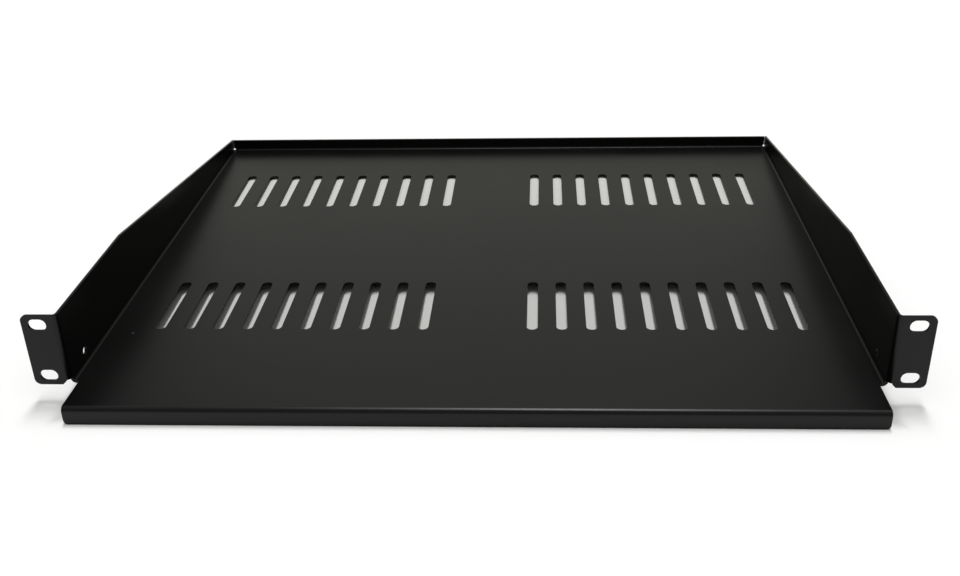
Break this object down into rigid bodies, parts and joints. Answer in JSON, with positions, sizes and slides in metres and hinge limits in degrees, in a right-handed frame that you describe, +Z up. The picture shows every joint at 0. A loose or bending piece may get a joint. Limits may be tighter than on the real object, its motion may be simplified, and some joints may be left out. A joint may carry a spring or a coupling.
{
  "type": "cantilever rack shelf",
  "caption": "Folded steel cantilever rack shelf: a vented tray with a turned-down front lip, tapering side walls and slotted ears that screw to a rack's front posts.",
  "frame": {"origin": "middle of the four ear slots, on the ears' back faces, which seat on the rack's front posts", "axes": "+X across the rack to the right seen from the front, +Y back into the rack, +Z up"},
  "size_m": [0.4826, 0.3855, 0.0534],
  "materials": {
    "powder_coated_steel": "black powder coat, fine-grained and half gloss"
  },
  "bodies": {
    "root": {"rack_shelf": "powder_coated_steel"}
  },
  "joints": []
}
